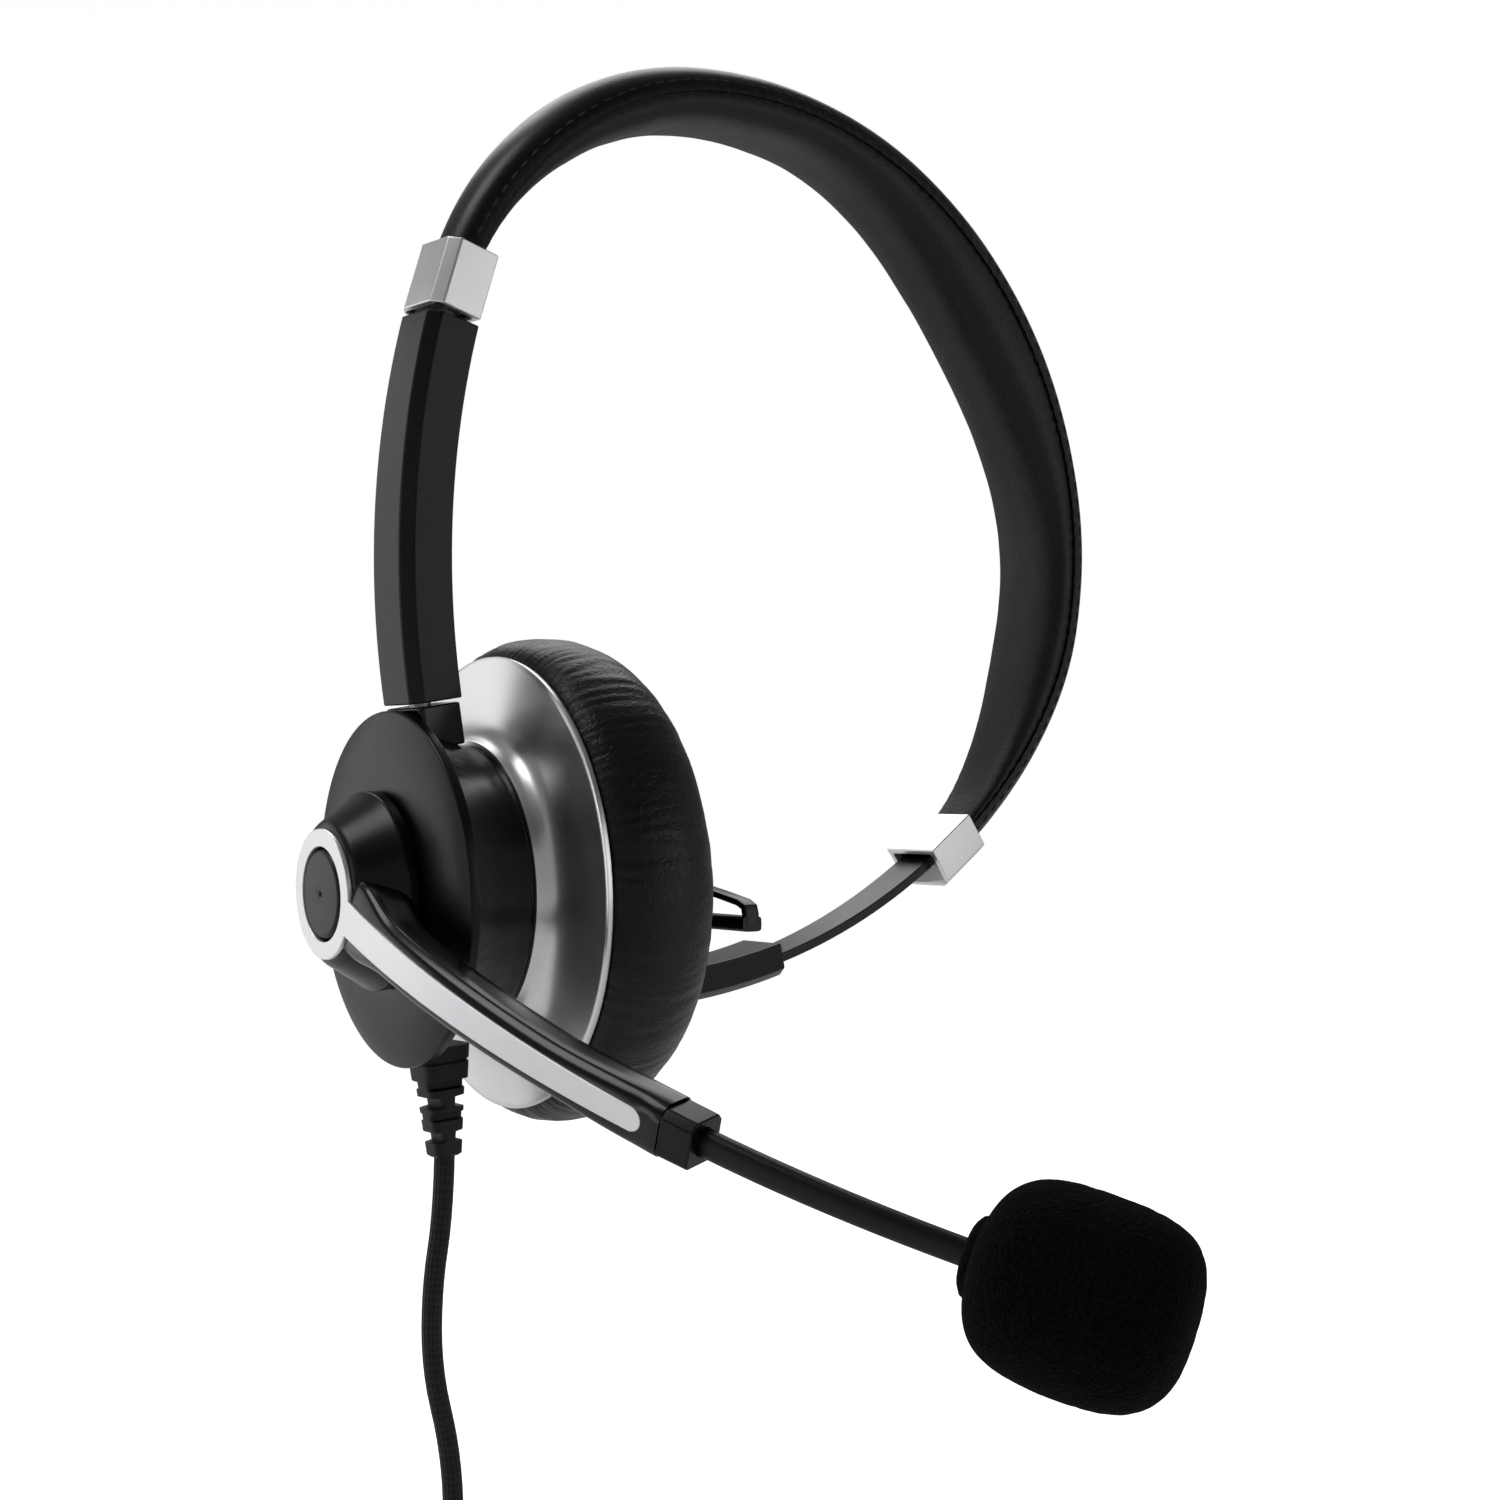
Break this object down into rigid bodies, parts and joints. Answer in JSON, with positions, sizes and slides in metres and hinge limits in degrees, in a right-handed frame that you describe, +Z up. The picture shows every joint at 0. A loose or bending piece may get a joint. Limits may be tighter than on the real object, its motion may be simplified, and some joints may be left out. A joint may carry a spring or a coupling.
{
  "type": "office headset",
  "caption": "Corded one-ear office headset: padded sprung band with sliding arm, round cushioned ear cup, temple rest on the far side, and a swinging bendable boom microphone with foam cover.",
  "frame": {"origin": "middle of the ear cushion's face, on the band's middle plane, where the ear meets it", "axes": "+Z up along the ear-side arm, -Y the way the wearer faces, +X from the ear cup through the head to the temple rest"},
  "size_m": [0.1337, 0.1525, 0.3],
  "materials": {
    "leather": "soft black leatherette",
    "silver": "satin silver lacquer on plastic",
    "black_plastic": "fine satin black moulding",
    "black_gloss": "semi-gloss black moulding",
    "steel": "spring steel",
    "foam": "open-cell black foam",
    "rubber": "matt black rubber",
    "cord": "black jacket with a fine braided texture",
    "board": "green circuit board",
    "magnet": "plated magnet",
    "gold": "plated contact"
  },
  "bodies": {
    "headband": {"band_spine_mid": "steel", "band_cover_mid": "leather", "band_pad_mid": "leather"},
    "ear_band": {"band_spine_ear": "steel", "band_cover_ear": "leather", "band_pad_ear": "leather", "collar_ear": "silver", "collar_insert_ear": "black_plastic", "blade_ear": "steel"},
    "temple_band": {"band_spine_temple": "steel", "band_cover_temple": "leather", "band_pad_temple": "leather", "collar_temple": "silver", "collar_insert_temple": "black_plastic"},
    "temple_arm": {"temple_blade": "steel", "temple_sleeve": "black_plastic", "sleeve_rivet": "steel"},
    "temple_rest": {"temple_yoke": "black_plastic", "temple_pin": "steel", "temple_plate": "black_plastic", "temple_pad": "leather"},
    "ear_arm": {"slider_arm": "black_plastic"},
    "ear_cup": {"housing": "black_gloss", "disc_cover": "black_plastic", "dish": "silver", "circuit_board": "board", "terminal_block": "black_plastic", "housing_screws": "steel", "speaker_plate": "black_plastic", "speaker_basket": "black_plastic", "speaker_magnet": "magnet", "speaker_cone": "foam", "speaker_scrim": "foam", "ear_cushion": "leather", "boom_axle": "black_plastic", "axle_bushing": "black_plastic", "hub_cap": "black_gloss", "retaining_ring": "steel", "hub_washer": "black_plastic", "strain_relief": "rubber", "swivel_pin": "steel", "cord": "cord", "cord_coil": "cord", "coil_tie": "rubber", "cord_tail": "cord", "plug_relief": "rubber", "plug_body": "rubber", "jack_pin": "gold"},
    "boom": {"boom_hub": "black_plastic", "boom_trim": "silver", "boom_arm": "black_gloss", "arm_end_cap": "black_plastic", "flex_root": "rubber"},
    "flex_1": {"flex_link_1": "rubber"},
    "flex_2": {"flex_link_2": "rubber"},
    "mic": {"mic_stem": "rubber", "mic_holder": "black_plastic", "mic_capsule": "magnet", "mic_grille": "gold", "windscreen": "foam"}
  },
  "joints": [
    {"name": "ear_open", "type": "hinge", "parent": "headband", "child": "ear_band", "pos_m": [0.00899, 0, 0.11534], "axis": [0, 1, 0], "range_deg": [0, 14], "stiffness_Nm_per_rad": 0.9, "springref_deg": -8.59},
    {"name": "temple_open", "type": "hinge", "parent": "headband", "child": "temple_band", "pos_m": [0.08919, 0, 0.04735], "axis": [0, -1, 0], "range_deg": [0, 14], "stiffness_Nm_per_rad": 0.9, "springref_deg": -8.59},
    {"name": "ear_size", "type": "hinge", "parent": "ear_band", "child": "ear_arm", "pos_m": [0.08927, 0, 0.04321], "axis": [0, -1, 0], "range_deg": [0, 8.6]},
    {"name": "cup_swivel", "type": "hinge", "parent": "ear_arm", "child": "ear_cup", "pos_m": [-0.03016, 0, 0.0238], "axis": [-0.1604, 0, 0.987], "range_deg": [-8, 14]},
    {"name": "boom_swing", "type": "hinge", "parent": "ear_cup", "child": "boom", "pos_m": [-0.008, -0.0013, 0], "axis": [-0.9966, 0.0739, -0.0375], "range_deg": [-42, 95]},
    {"name": "flex_bend_1", "type": "hinge", "parent": "boom", "child": "flex_1", "pos_m": [-0.03222, -0.06948, -0.02663], "axis": [-0.0608, -0.3444, 0.9369], "range_deg": [-12, 12]},
    {"name": "flex_bend_2", "type": "hinge", "parent": "flex_1", "child": "flex_2", "pos_m": [-0.02825, -0.07899, -0.02987], "axis": [-0.0608, -0.3444, 0.9369], "range_deg": [-12, 12]},
    {"name": "flex_bend_3", "type": "hinge", "parent": "flex_2", "child": "mic", "pos_m": [-0.02363, -0.08824, -0.03297], "axis": [-0.0608, -0.3444, 0.9369], "range_deg": [-12, 12]},
    {"name": "temple_size", "type": "hinge", "parent": "temple_band", "child": "temple_arm", "pos_m": [0.00184, 0, 0.0838], "axis": [0, -1, 0], "range_deg": [0, 5.6]},
    {"name": "temple_tilt", "type": "hinge", "parent": "temple_arm", "child": "temple_rest", "pos_m": [0.0119, 0, -0.0061], "axis": [0, 1, 0], "range_deg": [-4, 20]}
  ]
}
